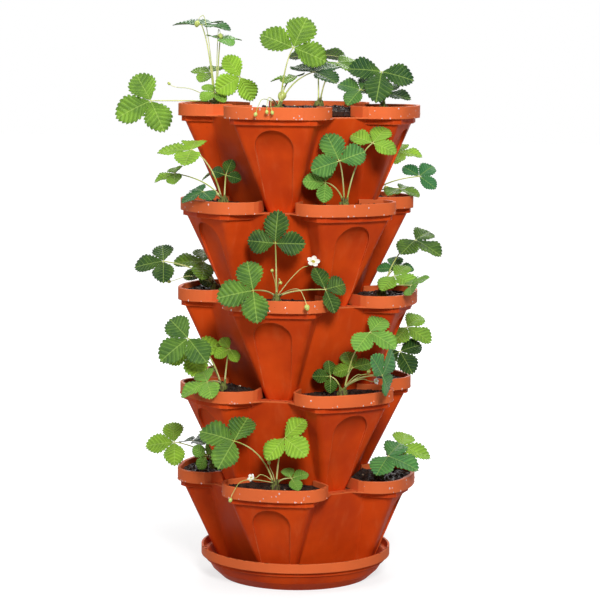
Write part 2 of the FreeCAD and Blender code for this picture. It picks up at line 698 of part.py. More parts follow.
# Each leaf's hub, out from the crown, aside and up from the soil, then the middle leaflet's heading
# and dip, the leaf's roll and the middle leaflet's length. The heights go with pots at this pitch.
LEAVES_PITCH = 119.5
LEAVES = {
    "plant_1_left": [
        (20, 0, 108, -100, -10, 5, 44),
        (-8, 8, 90, -137, -3, 13, 30),
        (-36, 12, 41, 35, 28, -71, 37),
        (80, 28, 9, 23, 24, -60, 50),
        (13, -21, 46, -13, -9, -22, 29),
        (-3, 17, 21, 53, 20, -31, 23),
    ],
    "plant_1_front": [
        (4, 20, 80, 155, -55, 40, 48),
        (-24, 40, 50, 145, -15, 15, 42),
        (-27, 12, 43, -95, 4, -9, 29),
    ],
    "plant_1_right": [
        (-2, -10, 50, -90, 50, -15, 46),
        (-5, 29, 22, 86, -25, 9, 37),
        (-26, -25, 27, 165, -16, -35, 33),
    ],
    "plant_1_back": [
        (30, 10, 70, 20, 30, 0, 42),
        (-20, -30, 60, -120, 15, 10, 40),
    ],
    "plant_2_front_left": [
        (40, -12, 70, -40, 0, -20, 44),
        (-5, -3, 37, -173, -65, 36, 22),
        (46, -45, 38, -37, 17, -22, 28),
        (36, 11, 18, -10, 21, -12, 30),
    ],
    "plant_2_front_right": [
        (19, -21, 60, -160, -60, -39, 40),
        (26, 24, 82, 110, -36, 23, 35),
        (5, -32, 33, -117, -4, -66, 28),
    ],
    "plant_2_back_right": [
        (17, -42, 16, -64, 12, 8, 31),
        (60, -26, 30, 10, -30, 35, 30),
        (45, 4, 62, -39, 6, 23, 33),
    ],
    "plant_2_back_left": [
        (35, 5, 60, 10, 30, 0, 40),
        (20, 35, 40, 70, 25, 10, 36),
    ],
    "plant_3_left": [
        (64, 23, 38, 12, 8, -38, 39),
        (18, -8, 36, 16, -3, -27, 40),
        (24, -31, 18, 31, 6, -32, 28),
    ],
    "plant_3_front": [
        (48, -18, 20, -75, 10, -60, 46),
        (21, 3, 77, 165, -84, 11, 41),
        (10, 65, 20, 141, -10, 62, 34),
    ],
    "plant_3_right": [
        (39, 24, 72, -13, 23, 21, 40),
        (13, 24, 34, 102, -36, 0, 26),
        (17, -3, 27, -18, 14, 27, 34),
        (45, -36, 19, -6, -31, 22, 26),
    ],
    "plant_3_back": [
        (30, 5, 62, 20, 30, 0, 40),
        (20, -35, 44, -70, 25, -10, 36),
    ],
    "plant_4_front_left": [
        (44, -12, 68, -15, 35, -45, 46),
        (26, -34, 48, 79, 47, 25, 40),
        (36, 24, 16, -29, 25, -23, 38),
        (-8, 4, 53, -8, 22, -46, 22),
    ],
    "plant_4_front_right": [
        (28, 22, 83, 36, 24, 32, 39),
        (77, 9, 35, 112, -44, 96, 39),
        (4, 12, 35, -186, -43, -18, 28),
        (-9, -13, 24, -104, -4, -66, 23),
    ],
    "plant_4_back_right": [
        (44, -26, 68, -55, 25, 30, 38),
        (25, -38, 38, -80, 45, 25, 36),
    ],
    "plant_4_back_left": [
        (35, 5, 58, 0, 30, 0, 40),
        (22, -36, 40, -65, 25, -10, 36),
    ],
    "plant_5_left": [
        (50, 20, 36, 15, 5, -45, 38),
        (34, -12, 33, -132, -13, -5, 31),
        (3, 28, 21, -3, -29, -79, 22),
    ],
    "plant_5_front": [
        (46, -42, 68, -95, -15, -40, 48),
        (17, 16, 70, 63, 25, 47, 39),
        (4, 22, 16, 123, -15, 32, 23),
    ],
    "plant_5_right": [
        (24, 17, 39, 6, 14, 24, 42),
        (17, -27, 34, -7, 16, 23, 43),
    ],
    "plant_5_back": [
        (30, 10, 60, 10, 30, 0, 40),
        (15, -36, 44, -79, 25, -7, 36),
    ],
}

ODD_LOBES = {"right": 0, "back": 90, "left": 180, "front": 270}
EVEN_LOBES = {"back_right": 45, "back_left": 135, "front_left": 225, "front_right": 315}


def place_copy(source, name, height, turn):
    """A linked copy of a piece at a height, turned about Z."""
    copy = doc.addObject("App::Link", name)
    copy.LinkedObject = source
    copy.Label = name
    copy.Placement = Placement(Vector(0, 0, size(height)), Rotation(Vector(0, 0, 1), turn))
    copy.setExpression("Placement.Base.z", named(height))
    return copy


def foot_height(number):
    """The height of the underside of a pot, counted from the top one down."""
    return "(saucer_floor_height + %d * pot_pitch)" % (POTS - number)


def build_tower():
    """Every node of the tower by name."""
    saucer = build_saucer()
    pot = build_pot(build_outside(), build_hollow())
    above = "(%s + soil_gap)" % valley_reach("pot_height - pot_pitch")
    nested_soil = build_soil("nested_soil", above)
    open_soil = build_soil("open_soil", "0")
    doc.recompute()
    nodes = {"saucer": saucer}
    for number in range(1, POTS + 1):
        turn = 0 if number % 2 else HALF_LOBE
        height = foot_height(number)
        nodes["pot_%d" % number] = place_copy(pot, "pot_%d" % number, height, turn)
        soil = open_soil if number == 1 else nested_soil
        nodes["soil_%d" % number] = place_copy(soil, "soil_%d" % number, height, turn)
        for side, azimuth in (ODD_LOBES if number % 2 else EVEN_LOBES).items():
            name = "plant_%d_%s" % (number, side)
            plant = doc.addObject("Part::Feature", name)
            plant.Shape = plant_shape(LEAVES[name])
            level = "%s + pot_height - soil_drop" % height
            out, aside = ("crown_reach * %s(%ddeg)" % (turned, azimuth) for turned in ("cos", "sin"))
            plant.Placement = Placement(Vector(), Rotation(Vector(0, 0, 1), azimuth))
            plant.setExpression("Placement.Base.x", named(out))
            plant.setExpression("Placement.Base.y", named(aside))
            plant.setExpression("Placement.Base.z", named(level))
            nodes[name] = plant
    return nodes


def check(nodes):
    """Stop if any object failed, or any node's shape is empty or invalid."""
    doc.recompute()
    for obj in doc.Objects:
        if "Invalid" in obj.State or "Error" in obj.State:
            raise ValueError("%s failed: %s" % (obj.Name, obj.State))
    for name, node in nodes.items():
        shape = Part.getShape(node)
        if shape.isNull() or not shape.isValid():
            raise ValueError("%s has no valid shape" % name)


def main():
    nodes = build_tower()
    check(nodes)
    os.makedirs("parts", exist_ok=True)
    for name, node in nodes.items():
        Part.getShape(node).exportStep("parts/%s.step" % name)
    print("%d nodes" % len(nodes))


main()
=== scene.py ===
import bmesh
import bpy
import json
import math
import random
from mathutils import Matrix, Vector, noise
from mathutils.bvhtree import BVHTree


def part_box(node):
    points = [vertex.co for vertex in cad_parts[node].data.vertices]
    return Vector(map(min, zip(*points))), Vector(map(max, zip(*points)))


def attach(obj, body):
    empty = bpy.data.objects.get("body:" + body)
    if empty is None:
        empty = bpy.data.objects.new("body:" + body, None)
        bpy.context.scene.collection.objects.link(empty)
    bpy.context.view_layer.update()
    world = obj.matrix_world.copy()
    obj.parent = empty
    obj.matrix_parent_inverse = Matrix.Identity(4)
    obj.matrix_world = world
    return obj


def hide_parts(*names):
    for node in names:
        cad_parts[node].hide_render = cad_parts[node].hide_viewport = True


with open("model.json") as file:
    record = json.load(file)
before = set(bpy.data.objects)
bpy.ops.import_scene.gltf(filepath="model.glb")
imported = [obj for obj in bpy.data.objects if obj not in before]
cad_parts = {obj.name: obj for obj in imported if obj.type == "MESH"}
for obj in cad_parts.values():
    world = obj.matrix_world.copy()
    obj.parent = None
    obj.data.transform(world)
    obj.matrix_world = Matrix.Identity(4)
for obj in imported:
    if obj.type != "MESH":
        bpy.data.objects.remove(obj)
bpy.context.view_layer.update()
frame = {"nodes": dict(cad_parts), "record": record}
nodes = frame["nodes"]
body_of = {n: body for body, members in frame["record"]["behaviour"]["bodies"].items() for n in members}

# The camera stands nearly three metres off, a little to the right of the front lobe and a hand above
# the top rim, and looks slightly down.
CAMERA_TURN = math.radians(13.6)
CAMERA_AWAY = 2.8757
CAMERA_HEIGHT = 0.7062
CAMERA_DIP = 0.1272
CAMERA_ROLL = 0.0085
CAMERA_LENS = 132.8
CAMERA_SENSOR = 36
CAMERA_SHIFT = (0.0044, 0.0324)
camera = bpy.data.objects.new("camera", bpy.data.cameras.new("camera"))
bpy.context.scene.collection.objects.link(camera)
camera.data.lens = CAMERA_LENS
camera.data.sensor_width = CAMERA_SENSOR
camera.data.shift_x, camera.data.shift_y = CAMERA_SHIFT
camera.matrix_world = (
    Matrix.Rotation(CAMERA_TURN, 4, "Z") @ Matrix.Translation((0, -CAMERA_AWAY, CAMERA_HEIGHT))
    @ Matrix.Rotation(math.pi / 2 - CAMERA_DIP, 4, "X") @ Matrix.Rotation(CAMERA_ROLL, 4, "Z")
)
bpy.context.scene.camera = camera

# The floor is a plain white sheet that runs far back. It shows white to the camera and keeps the
# shadow under the saucer.
bpy.context.scene.view_settings.view_transform = "Standard"


def paint(code):
    """A colour written as six hex digits, as the linear colour a socket takes."""
    parts = [int(code[i:i + 2], 16) / 255 for i in (0, 2, 4)]
    return (*[c / 12.92 if c < 0.04045 else ((c + 0.055) / 1.055) ** 2.4 for c in parts], 1)


def add_node(tree, kind, inputs=None, **settings):
    """A node with its settings, and its inputs linked to sockets or set to values."""
    made = tree.nodes.new(kind)
    for key, value in settings.items():
        setattr(made, key, value)
    for key, value in (inputs or {}).items():
        if isinstance(value, bpy.types.NodeSocket):
            tree.links.new(value, made.inputs[key])
        else:
            made.inputs[key].default_value = value
    return made


def new_material(name, **constants):
    """A material with its Principled BSDF, whose constant sockets are set by name."""
    material = bpy.data.materials.new(name)
    material.use_nodes = True
    shader = material.node_tree.nodes["Principled BSDF"]
    for key, value in constants.items():
        shader.inputs[key.replace("_", " ")].default_value = value
    return material, material.node_tree, shader


def object_place(tree):
    """Where a spot lies in its object's own axes."""
    return add_node(tree, "ShaderNodeTexCoord").outputs["Object"]


def reckon(tree, operation, *values):
    """The outcome of one sum on sockets or numbers."""
    return add_node(tree, "ShaderNodeMath", dict(enumerate(values)), operation=operation).outputs[0]


def ramp(tree, value, low, high, bottom=0.0, top=1.0):
    """A value stretched from a low and a high to a bottom and a top, with soft ends."""
    ends = {"Value": value, "From Min": low, "From Max": high, "To Min": bottom, "To Max": top}
    return add_node(tree, "ShaderNodeMapRange", ends, interpolation_type="SMOOTHSTEP").outputs["Result"]


def lit_as_white(tree):
    """One where a ray comes from the camera, a reflection or a clear drop, and nothing elsewhere."""
    path = add_node(tree, "ShaderNodeLightPath")
    direct = reckon(tree, "MAXIMUM", path.outputs["Is Camera Ray"], path.outputs["Is Glossy Ray"])
    return reckon(tree, "MAXIMUM", direct, path.outputs["Is Transmission Ray"])


FLOOR_SIZE = 12
GLOW_NEAR = 0.2
GLOW_FAR = 0.9
GLOW_UNDER = 0.72
floor_mesh = bmesh.new()
bmesh.ops.create_grid(floor_mesh, x_segments=1, y_segments=1, size=FLOOR_SIZE)
floor_data = bpy.data.meshes.new("floor")
floor_mesh.to_mesh(floor_data)
floor_mesh.free()
floor = bpy.data.objects.new("floor", floor_data)
bpy.context.scene.collection.objects.link(floor)
floor_paint, tree, shader = new_material("white_floor", Base_Color=paint("9c9c9c"), Roughness=0.9,
                                         Specular_IOR_Level=0.1, Emission_Color=(1, 1, 1, 1))
away = add_node(tree, "ShaderNodeVectorMath", {0: object_place(tree)}, operation="LENGTH")
away = away.outputs["Value"]
glow = reckon(tree, "MULTIPLY", lit_as_white(tree), ramp(tree, away, GLOW_NEAR, GLOW_FAR, GLOW_UNDER))
tree.links.new(glow, shader.inputs["Emission Strength"])
floor_data.materials.append(floor_paint)

# Soft studio light: the main panel stands to the right in front, a weak one hangs overhead, one fills
# the left side and one the back, and a dim room that looks white is all round.
ROOM_LIGHT = 0.11
world = bpy.data.worlds.new("white_room")
bpy.context.scene.world = world
world.use_nodes = True
tree = world.node_tree
background = tree.nodes["Background"]
background.inputs["Color"].default_value = (1, 1, 1, 1)
strength = reckon(tree, "MULTIPLY_ADD", lit_as_white(tree), 1 - ROOM_LIGHT, ROOM_LIGHT)
tree.links.new(strength, background.inputs["Strength"])


def add_panel(name, place, aim, width, power):
    """A square light panel that faces a point."""
    lamp = bpy.data.lights.new(name, "AREA")
    lamp.size = width
    lamp.energy = power
    panel = bpy.data.objects.new(name, lamp)
    bpy.context.scene.collection.objects.link(panel)
    panel.location = place
    panel.rotation_euler = (Vector(aim) - Vector(place)).to_track_quat("-Z", "Y").to_euler()


add_panel("key_light", (1.15, -2.8, 1.95), (0, 0, 0.3), 0.7, 104)
add_panel("top_light", (0.2, -0.8, 2.8), (0, 0, 0.4), 1.2, 28)
add_panel("side_light", (-2.4, -1.6, 1.3), (0, 0, 0.3), 1.4, 15)
add_panel("back_light", (-0.4, 2.5, 1.7), (0, 0, 0.35), 1.6, 44)

# The drip saucer: one round moulding of terracotta-coloured plastic, with a satin skin and a thick rim
# over a stepped band. Its floor below the rim is coloured dark brown.
TERRACOTTA = paint("d4480c")
TERRACOTTA_DEEP = paint("b83808")
TERRACOTTA_PALE = paint("e07844")
SAUCER_RIM_HEIGHT = 0.012
RIM_SPARE = 0.001


def new_group(name, takes, gives):
    """A shader node group with its input and output sockets, and the two nodes inside that hold them."""
    group = bpy.data.node_groups.new(name, "ShaderNodeTree")
    for socket, kind, value in takes:
        made = group.interface.new_socket(socket, in_out="INPUT", socket_type=kind)
        made.default_value = value
    for socket, kind in gives:
        group.interface.new_socket(socket, in_out="OUTPUT", socket_type=kind)
    return group, group.nodes.new("NodeGroupInput"), group.nodes.new("NodeGroupOutput")


def feed(group, ends, **sources):
    """Link sockets to a group's outputs by name."""
    for key, socket in sources.items():
        group.links.new(socket, ends.inputs[key.replace("_", " ")])


def blend_colours(tree, share, first, second):
    """A mix of two colours. Sockets 6 and 7 of the node take colours and its output 2 gives one."""
    inputs = {"Factor": share, 6: first, 7: second}
    return add_node(tree, "ShaderNodeMix", inputs, data_type="RGBA").outputs[2]


def speckle(tree, where, scale, detail=3.0, stretch=None):
    """Noise at a scale in object space, or stretched by three factors."""
    if stretch:
        where = add_node(tree, "ShaderNodeMapping", {"Vector": where, "Scale": stretch}).outputs["Vector"]
    inputs = {"Vector": where, "Scale": scale, "Detail": detail}
    return add_node(tree, "ShaderNodeTexNoise", inputs).outputs["Fac"]


def bumped(tree, height, strength, distance, normal=None):
    """A normal bent by a height, on top of another normal if one is given."""
    inputs = {"Height": height, "Strength": strength, "Distance": distance}
    if normal is not None:
        inputs["Normal"] = normal
    return add_node(tree, "ShaderNodeBump", inputs).outputs["Normal"]


moulding, inside, ends = new_group(
    "moulded_terracotta",
    [("Rim Start", "NodeSocketFloat", 0.0), ("Rim End", "NodeSocketFloat", 0.02),
     ("Grime", "NodeSocketFloat", 0.5), ("Hollow", "NodeSocketFloat", 0.0)],
    [("Color", "NodeSocketColor"), ("Roughness", "NodeSocketFloat"), ("Normal", "NodeSocketVector")],
)
where = object_place(moulding)
facing = add_node(moulding, "ShaderNodeNewGeometry").outputs["Normal"]
place_up = add_node(moulding, "ShaderNodeSeparateXYZ", {"Vector": where}).outputs["Z"]
face_up = add_node(moulding, "ShaderNodeSeparateXYZ", {"Vector": facing}).outputs["Z"]
cloud = speckle(moulding, where, 16.0, 4.0)
streak = speckle(moulding, where, 1.0, 4.0, (90, 90, 14))
colour = blend_colours(moulding, ramp(moulding, cloud, 0.32, 0.72), TERRACOTTA_DEEP, TERRACOTTA)
colour = blend_colours(moulding, ramp(moulding, streak, 0.5, 0.8, 0, 0.13), colour, TERRACOTTA_PALE)
# The thick rim is paler, because it catches more light and dries first.
RIM_BLEND = 0.0006
RIM_PALENESS = 0.55
past_start = reckon(moulding, "SUBTRACT", place_up, inside.outputs["Rim Start"])
before_end = reckon(moulding, "SUBTRACT", inside.outputs["Rim End"], place_up)
on_rim = reckon(moulding, "MULTIPLY", ramp(moulding, past_start, -RIM_BLEND, RIM_BLEND),
                ramp(moulding, before_end, -RIM_BLEND, RIM_BLEND))
paleness = reckon(moulding, "MULTIPLY", on_rim, RIM_PALENESS)
colour = blend_colours(moulding, paleness, colour, TERRACOTTA_PALE)
# Rounded mould edges, worn a little paler.
EDGE_RADIUS = 0.0013
edge = add_node(moulding, "ShaderNodeBevel", {"Radius": EDGE_RADIUS}, samples=6).outputs["Normal"]
turned = add_node(moulding, "ShaderNodeVectorMath", {0: edge, 1: facing}, operation="DOT_PRODUCT")
turned = turned.outputs["Value"]
patches = ramp(moulding, speckle(moulding, where, 55.0, 5.0), 0.42, 0.6, 0.35, 1.0)
wear = reckon(moulding, "MULTIPLY", ramp(moulding, turned, 0.995, 0.75, 0.0, 0.5), patches)
colour = blend_colours(moulding, wear, colour, paint("f09a62"))
# Potting dust that settles on ledges and small dark crumbs of soil that stick to them.
powder = ramp(moulding, speckle(moulding, where, 140.0, 6.0), 0.5, 0.68)
dust = reckon(moulding, "MULTIPLY", ramp(moulding, face_up, 0.6, 0.95), powder)
dust = reckon(moulding, "MULTIPLY", dust, inside.outputs["Grime"])
colour = blend_colours(moulding, dust, colour, paint("3a1a0c"))
cells = add_node(moulding, "ShaderNodeTexVoronoi", {"Vector": where, "Scale": 85.0}).outputs["Distance"]
sparse = ramp(moulding, speckle(moulding, where, 23.0, 2.0), 0.5, 0.62)
fleck = reckon(moulding, "MULTIPLY", ramp(moulding, cells, 0.055, 0.03, 0.0, 0.75), sparse)
colour = blend_colours(moulding, fleck, colour, paint("4a1c0c"))
# A satin skin with a fine moulded grain.
grain = speckle(moulding, where, 1500.0, 2.0)
shine = ramp(moulding, cloud, 0.3, 0.7, 0.54, 0.68)
shine = reckon(moulding, "ADD", shine, ramp(moulding, dust, 0.0, 1.0, 0.0, 0.35))
height = reckon(moulding, "MULTIPLY_ADD", speckle(moulding, where, 30.0, 2.0), 14.0, grain)
scooped = bumped(moulding, inside.outputs["Hollow"], 1.0, 1.0, edge)
skin = bumped(moulding, height, 0.18, 0.00018, scooped)
feed(moulding, ends, Color=colour, Roughness=shine, Normal=skin)


def terracotta(name, top, rim_height, grime):
    """The moulded plastic of one piece, with its rim from a height below its top."""
    material, tree, shader = new_material(name, Specular_IOR_Level=0.12)
    made = add_node(tree, "ShaderNodeGroup", node_tree=moulding)
    for key, value in (("Rim Start", top - rim_height), ("Rim End", top + RIM_SPARE), ("Grime", grime)):
        made.inputs[key].default_value = value
    for socket in ("Roughness", "Normal"):
        tree.links.new(made.outputs[socket], shader.inputs[socket])
    tree.links.new(made.outputs["Color"], shader.inputs["Base Color"])
    return material


def finish_node(name, material):
    """Give a CAD node's object one material."""
    data = nodes[name].data
    data.materials.clear()
    data.materials.append(material)


material = terracotta("terracotta_saucer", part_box("saucer")[1].z, SAUCER_RIM_HEIGHT, 0.9)
tree = material.node_tree
where = object_place(tree)
place_up = add_node(tree, "ShaderNodeSeparateXYZ", {"Vector": where}).outputs["Z"]
facing = add_node(tree, "ShaderNodeNewGeometry").outputs["Normal"]
face_up = add_node(tree, "ShaderNodeSeparateXYZ", {"Vector": facing}).outputs["Z"]
# Faces that look up and lie low on the saucer's floor are darkened to dark brown, with a noisy edge.
low_floor_height = reckon(tree, "MULTIPLY_ADD", speckle(tree, where, 60.0, 5.0), 0.012, place_up)
dark_floor_share = reckon(tree, "MULTIPLY", ramp(tree, low_floor_height, 0.023, 0.015), ramp(tree, face_up, 0.3, 0.6))
colour = blend_colours(tree, dark_floor_share, tree.nodes["Group"].outputs["Color"], paint("35130a"))
tree.links.new(colour, tree.nodes["Principled BSDF"].inputs["Base Color"])
finish_node("saucer", material)

# The five stacking pots: each is one moulding with four tapered lobes, an arched recess in every
# face, and a wide rim. They nest foot into notch, with nothing to fix them. The floor of a recess is
# scooped like a flute, deepest along its middle.
POT_NUMBERS = range(1, 6)
RIM_HEIGHT = 0.0155
ARCH_MIDDLE = 0.084
ARCH_TOP = 0.107
ARCH_RADIUS = 0.0245
ARCH_FOOT = 0.0155
ARCH_SQUASH = 0.94
SCOOP_SIDES = 0.0032
SCOOP_TOP = 0.0085
SCOOP_TOP_START = 0.076
WALL_FOOT = 0.099
WALL_SLOPE = 0.4195
WALL_BOW = 0.114
scoop, inside, ends = new_group(
    "recess_scoop",
    [("Foot", "NodeSocketFloat", 0.0), ("Turn", "NodeSocketVector", (0, 0, 0))],
    [("Height", "NodeSocketFloat")],
)
turning = {"Vector": object_place(scoop), "Rotation": inside.outputs["Turn"]}
place = add_node(scoop, "ShaderNodeMapping", turning)
xyz = add_node(scoop, "ShaderNodeSeparateXYZ", {"Vector": place.outputs["Vector"]})
far_x = reckon(scoop, "ABSOLUTE", xyz.outputs["X"])
far_y = reckon(scoop, "ABSOLUTE", xyz.outputs["Y"])
aside = reckon(scoop, "MINIMUM", far_x, far_y)
out = reckon(scoop, "MAXIMUM", far_x, far_y)
up = reckon(scoop, "SUBTRACT", xyz.outputs["Z"], inside.outputs["Foot"])
# How far a spot is from the recess's middle line, as a share of the way to its edge.
past_middle = reckon(scoop, "MAXIMUM", reckon(scoop, "SUBTRACT", up, ARCH_MIDDLE), 0)
over = reckon(scoop, "DIVIDE", past_middle, ARCH_SQUASH)
spread = reckon(scoop, "MULTIPLY_ADD", aside, aside, reckon(scoop, "MULTIPLY", over, over))
spread = reckon(scoop, "SQRT", spread)
share = reckon(scoop, "DIVIDE", spread, ramp(scoop, up, 0, ARCH_MIDDLE, ARCH_FOOT, ARCH_RADIUS))
# The floor sinks towards the middle line and comes forward again under the arch's top.
held = reckon(scoop, "MINIMUM", share, 1)
dish = reckon(scoop, "MULTIPLY", reckon(scoop, "MULTIPLY_ADD", held, held, -1), SCOOP_SIDES)
climb = {"Value": up, "From Min": SCOOP_TOP_START, "From Max": ARCH_TOP}
rise = add_node(scoop, "ShaderNodeMapRange", climb).outputs["Result"]
dish = reckon(scoop, "MULTIPLY_ADD", reckon(scoop, "MULTIPLY", rise, rise), SCOOP_TOP, dish)
# Only what lies behind the wall's face and inside the arch is scooped.
bowed = reckon(scoop, "MULTIPLY_ADD", aside, -WALL_BOW, WALL_FOOT)
depth = reckon(scoop, "SUBTRACT", reckon(scoop, "MULTIPLY_ADD", up, WALL_SLOPE, bowed), out)
scooped = reckon(scoop, "MULTIPLY", ramp(scoop, depth, 0.0003, 0.0016), ramp(scoop, share, 1.06, 1.02))
feed(scoop, ends, Height=reckon(scoop, "MULTIPLY", dish, scooped))
for number in POT_NUMBERS:
    low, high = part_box("pot_%d" % number)
    material = terracotta("terracotta_pot_%d" % number, high.z, RIM_HEIGHT, 0.55)
    tree = material.node_tree
    hollow = add_node(tree, "ShaderNodeGroup", node_tree=scoop)
    hollow.inputs["Foot"].default_value = low.z
    hollow.inputs["Turn"].default_value = (0, 0, 0 if number % 2 else math.pi / 4)
    tree.links.new(hollow.outputs["Height"], tree.nodes["Group"].inputs["Hollow"])
    finish_node("pot_%d" % number, material)

# Drops left by watering: small clear beads of water that cling to the rims' faces, about seventeen to
# a lobe. Nearly half of them hang along a rim's lower edge.
DROPS = 70
DROP_VERTICES = 42
DROP_RADII = (0.0005, 0.0006, 0.0007, 0.0009, 0.0012)
LOW_EDGE = 0.93
LOW_SHARE = 0.45
FACE_LEVELS = (0.1, 0.95)
OUTSIDE = 0.3
RIM_NEAREST = 0.125


def to_object(bm, name, materials, body, smooth=True):
    """A finished piece from a bmesh, with its materials, riding on a body."""
    data = bpy.data.meshes.new(name)
    bm.to_mesh(data)
    bm.free()
    for face in data.polygons:
        face.use_smooth = smooth
    for material in materials:
        data.materials.append(material)
    piece = bpy.data.objects.new(name, data)
    bpy.context.scene.collection.objects.link(piece)
    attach(piece, body)
    return piece


def frame_on(normal):
    """A turn that stands Z along a normal."""
    return Vector(normal).to_track_quat("Z", "Y").to_matrix().to_4x4()


def tree_of(node):
    """A CAD node's triangles, to find where a line meets them."""
    copy = bmesh.new()
    copy.from_mesh(node.data)
    found = BVHTree.FromBMesh(copy)
    copy.free()
    return found


water, tree, shader = new_material("clear_water", Base_Color=(1, 0.97, 0.94, 1), Roughness=0.04, IOR=1.33,
                                   Transmission_Weight=0.6)
ripple = speckle(tree, object_place(tree), 900.0, 1.0)
tree.links.new(bumped(tree, ripple, 0.15, 0.0001), shader.inputs["Normal"])
for number in POT_NUMBERS:
    chance = random.Random(40 + number)
    pot = tree_of(nodes["pot_%d" % number])
    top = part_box("pot_%d" % number)[1].z
    beads = bmesh.new()
    while len(beads.verts) < DROPS * DROP_VERTICES:
        turn = chance.uniform(0, 2 * math.pi)
        share = LOW_EDGE if chance.random() < LOW_SHARE else chance.uniform(*FACE_LEVELS)
        outward = Vector((math.cos(turn), math.sin(turn), 0))
        start = outward * OUTSIDE + Vector((0, 0, top - RIM_HEIGHT * share))
        spot, normal, *_ = pot.ray_cast(start, -outward)
        if spot is None or math.hypot(spot.x, spot.y) < RIM_NEAREST:
            continue
        radius = chance.choice(DROP_RADII)
        squash = Matrix.Diagonal((1, chance.uniform(1.0, 1.35), 0.6, 1))
        bmesh.ops.create_icosphere(beads, subdivisions=2, radius=radius,
                                   matrix=Matrix.Translation(spot) @ frame_on(normal) @ squash)
    to_object(beads, "drops_%d" % number, [water], body_of["pot_%d" % number])

# Potting soil: dark, moist and crumbly, heaped a little under each rim, with loose crumbs and a few
# pale bits of perlite and bark. Each pot's soil is one piece that follows its mouth.
SOIL_CELL = 0.0045
SOIL_ROUGHNESS = 0.0035
SOIL_LUMPS = 90
SOIL_GRIT = 260
SOIL_SINK = 0.0008
TOP_SPARE = 0.0002
FACES_UP = 0.9
CRUMBS = 430
CRUMB_RADII = (0.0011, 0.0014, 0.0018, 0.0024, 0.0032)
CRUMB_FALL = 0.006
CRUMB_BED = ((0, 0), (1.4, 0), (-1.4, 0), (0, 1.4), (0, -1.4))
CRUMB_BUMPS = 0.18
CRUMB_LIFT = 0.25
TUMBLE = 6.28
PALE_SHARE = 0.05
PALE_LARGEST = 0.002
FOOT_ABOVE = 0.079
DOWN = Vector((0, 0, -1))
soil_skin, tree, shader = new_material("moist_soil", Specular_IOR_Level=0.35)
where = object_place(tree)
lumps = speckle(tree, where, 160.0, 8.0)
grit = speckle(tree, where, 700.0, 6.0)
colour = blend_colours(tree, ramp(tree, lumps, 0.35, 0.7), paint("130a06"), paint("3a2417"))
colour = blend_colours(tree, ramp(tree, grit, 0.6, 0.72, 0, 0.6), colour, paint("5c412c"))
tree.links.new(colour, shader.inputs["Base Color"])
tree.links.new(ramp(tree, lumps, 0.4, 0.6, 0.55, 0.95), shader.inputs["Roughness"])
height = reckon(tree, "MULTIPLY_ADD", lumps, 3.0, grit)
tree.links.new(bumped(tree, height, 0.9, 0.0009), shader.inputs["Normal"])


def mottled(name, scale, low, high, first, second, **constants):
    """A material of two colours in soft spots."""
    material, tree, shader = new_material(name, **constants)
    spots = ramp(tree, speckle(tree, object_place(tree), scale, 3.0), low, high)
    tree.links.new(blend_colours(tree, spots, paint(first), paint(second)), shader.inputs["Base Color"])
    return material


def at_top(face, top):
    """Whether a face is part of the soil's flat top, which lies at a height."""
    return face.normal.z > FACES_UP and face.calc_center_median().z > top - TOP_SPARE


perlite = mottled("perlite", 400.0, 0.4, 0.65, "8d7257", "d9cdb8", Roughness=0.85)
for number in POT_NUMBERS:
    chance = random.Random(60 + number)
    name = "soil_%d" % number
    low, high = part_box(name)
    heap = bmesh.new()
    heap.from_mesh(nodes[name].data)
    bmesh.ops.remove_doubles(heap, verts=heap.verts, dist=0.00001)
    for axis, first, last in ((0, low.x, high.x), (1, low.y, high.y)):
        for step in range(1, int((last - first) / SOIL_CELL)):
            top = [f for f in heap.faces if at_top(f, high.z)]
            corners = dict.fromkeys(v for f in top for v in f.verts)
            sides = dict.fromkeys(e for f in top for e in f.edges)
            middle, across = Vector((0, 0, 0)), Vector((0, 0, 0))
            middle[axis] = first + step * SOIL_CELL
            across[axis] = 1
            bmesh.ops.bisect_plane(heap, geom=[*corners, *sides, *top], plane_co=middle, plane_no=across,
                                   dist=0.00001)
    bmesh.ops.triangulate(heap, faces=[f for f in heap.faces if f.normal.z > FACES_UP])
    for vert in heap.verts:
        if vert.co.z > high.z - TOP_SPARE and all(f.normal.z > FACES_UP for f in vert.link_faces):
            rough = noise.fractal(vert.co * SOIL_LUMPS, 1.0, 2.0, 3)
            rough += 0.6 * noise.noise(vert.co * SOIL_GRIT)
            vert.co.z += SOIL_ROUGHNESS * rough - SOIL_SINK
    ground = BVHTree.FromBMesh(heap)
    soil = to_object(heap, "potting_soil_%d" % number, [soil_skin], body_of[name], smooth=False)
    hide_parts(name)
    loose = bmesh.new()
    made = 0
    while made < CRUMBS:
        x, y = chance.uniform(low.x, high.x), chance.uniform(low.y, high.y)
        radius = chance.choice(CRUMB_RADII)
        spots = [ground.ray_cast(Vector((x + dx * radius, y + dy * radius, high.z + 0.02)), DOWN)[0]
                 for dx, dy in CRUMB_BED]
        if any(s is None or s.z < high.z - CRUMB_FALL for s in spots):
            continue
        if number > 1 and math.hypot(x, y) < FOOT_ABOVE:
            continue
        squash = Matrix.Diagonal((1, chance.uniform(0.6, 1.0), chance.uniform(0.5, 0.9), 1))
        tumble = Matrix.Rotation(chance.uniform(0, TUMBLE), 4, Vector((chance.random(), chance.random(), 1)))
        rest = Matrix.Translation(spots[0] + Vector((0, 0, CRUMB_LIFT * radius)))
        crumb = bmesh.ops.create_icosphere(loose, subdivisions=1, radius=radius,
                                           matrix=rest @ tumble @ squash)
        pale = chance.random() < PALE_SHARE and radius < PALE_LARGEST
        for vert in crumb["verts"]:
            vert.co += Vector([chance.uniform(-CRUMB_BUMPS, CRUMB_BUMPS) * radius for _ in range(3)])
            for face in vert.link_faces:
                face.material_index = 1 if pale else 0
        made += 1
    skins = [soil_skin, perlite]
    crumbs = to_object(loose, "soil_crumbs_%d" % number, skins, body_of[name], smooth=False)

